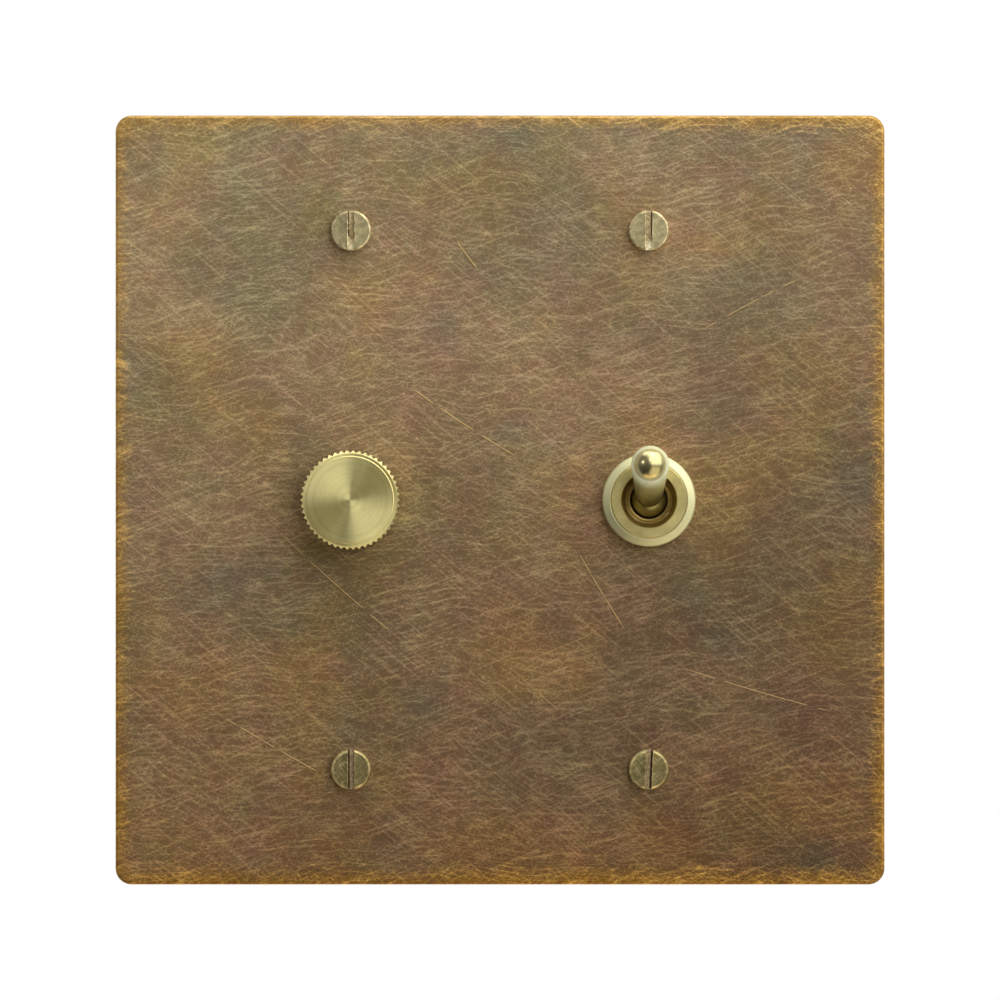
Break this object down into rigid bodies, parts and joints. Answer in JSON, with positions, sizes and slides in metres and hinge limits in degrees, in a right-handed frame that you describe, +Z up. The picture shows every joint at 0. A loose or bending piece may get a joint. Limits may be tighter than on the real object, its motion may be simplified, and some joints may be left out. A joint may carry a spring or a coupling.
{
  "type": "toggle wall switch",
  "caption": "Square aged-brass wall plate with a knurled rotary dimmer knob, a bat-lever toggle switch, slotted box screws, and the switch and dimmer modules behind it.",
  "frame": {"origin": "centre of the plate's back face, on the wall plane", "axes": "+Y into the wall (the front faces -Y), +Z up, +X right as seen from the room"},
  "size_m": [0.119, 0.0659, 0.119],
  "materials": {
    "aged_brass": "brushed and worn",
    "screw_brass": "satin",
    "knob_brass": "concentric brushed",
    "nut_brass": "satin",
    "bush_brass": "turned",
    "lever_brass": "polished",
    "contact_brass": "bright",
    "silver": "satin",
    "copper": "bright copper",
    "steel": "bright",
    "zinc_steel": "zinc plated",
    "nickel": "nickel plated",
    "green_zinc": "green zinc",
    "aluminium": "satin",
    "phenolic": "moulded",
    "black_plastic": "moulded",
    "nylon": "moulded",
    "laminate": "satin",
    "capacitor_plastic": "moulded",
    "fuse_body": "glazed",
    "iron_powder": "coated",
    "black_insulation": "extruded",
    "red_insulation": "extruded",
    "green_insulation": "extruded",
    "rubber": "moulded"
  },
  "bodies": {
    "plate": {"face_plate": "aged_brass", "plate_screws": "screw_brass", "earth_stud": "contact_brass", "earth_washer": "steel", "earth_nut": "steel", "toggle_bushing": "bush_brass", "toggle_dress_nut": "nut_brass", "locating_ring": "steel", "toggle_lock_washer": "steel", "toggle_back_nut": "zinc_steel", "toggle_frame": "zinc_steel", "toggle_case": "phenolic", "common_terminal": "contact_brass", "throw_terminals": "contact_brass", "fixed_contacts": "silver", "rocker_pin": "steel", "terminal_screws": "contact_brass", "ground_screw": "green_zinc", "dimmer_neck": "nickel", "dimmer_front_nut": "nickel", "dimmer_star_washer": "steel", "dimmer_chassis": "aluminium", "dimmer_case": "black_plastic", "case_screws": "steel", "lead_grommet": "rubber", "lead_live": "black_insulation", "lead_load": "red_insulation", "lead_earth": "green_insulation", "lead_ends": "copper", "dimmer_pcb": "laminate", "pot_can": "steel", "pot_track": "laminate", "pot_pins": "steel", "push_switch_body": "black_plastic", "push_spring": "steel", "choke_core": "iron_powder", "choke_winding": "copper", "triac": "black_plastic", "triac_screw": "steel", "suppression_capacitor": "capacitor_plastic", "fuse": "fuse_body"},
    "lever": {"toggle_lever": "lever_brass", "lever_pin": "steel", "lever_spring": "steel"},
    "plunger": {"lever_plunger": "nylon"},
    "rocker": {"contact_rocker": "contact_brass", "moving_contacts": "silver"},
    "wiper": {"wiper_rotor": "nylon", "wiper_contact": "contact_brass"},
    "knob": {"dimmer_knob": "knob_brass", "knob_grub_screw": "steel", "dimmer_shaft": "nickel", "shaft_clip": "steel"},
    "push_button": {"push_plunger": "nylon"}
  },
  "joints": [
    {"name": "lever_tilt", "type": "hinge", "parent": "plate", "child": "lever", "pos_m": [0.02302, -0.0024, 0], "axis": [1, 0, 0], "range_deg": [0, 33]},
    {"name": "rocker_tilt", "type": "hinge", "parent": "plate", "child": "rocker", "pos_m": [0.02302, 0.01257, 0], "axis": [1, 0, 0], "range_deg": [-16.5, 0]},
    {"name": "plunger_slide", "type": "slide", "parent": "lever", "child": "plunger", "axis": [0, -0.9588, 0.284], "range_m": [0, 0.001], "stiffness_N_per_m": 600, "springref_m": -0.002, "deforming": ["lever_spring"]},
    {"name": "knob_turn", "type": "hinge", "parent": "plate", "child": "wiper", "pos_m": [-0.02302, 0, 0], "axis": [0, 1, 0], "range_deg": [0, 270]},
    {"name": "knob_press", "type": "slide", "parent": "wiper", "child": "knob", "axis": [0, 1, 0], "range_m": [0, 0.0012], "stiffness_N_per_m": 1500, "springref_m": -0.001},
    {"name": "push_button_slide", "type": "slide", "parent": "plate", "child": "push_button", "axis": [0, 1, 0], "range_m": [0, 0.0012], "deforming": ["push_spring"]}
  ],
  "couplings": [
    {"joint": "rocker_tilt", "follows": "lever_tilt", "ratio": -0.5},
    {"joint": "push_button_slide", "follows": "knob_press", "ratio": 1}
  ]
}
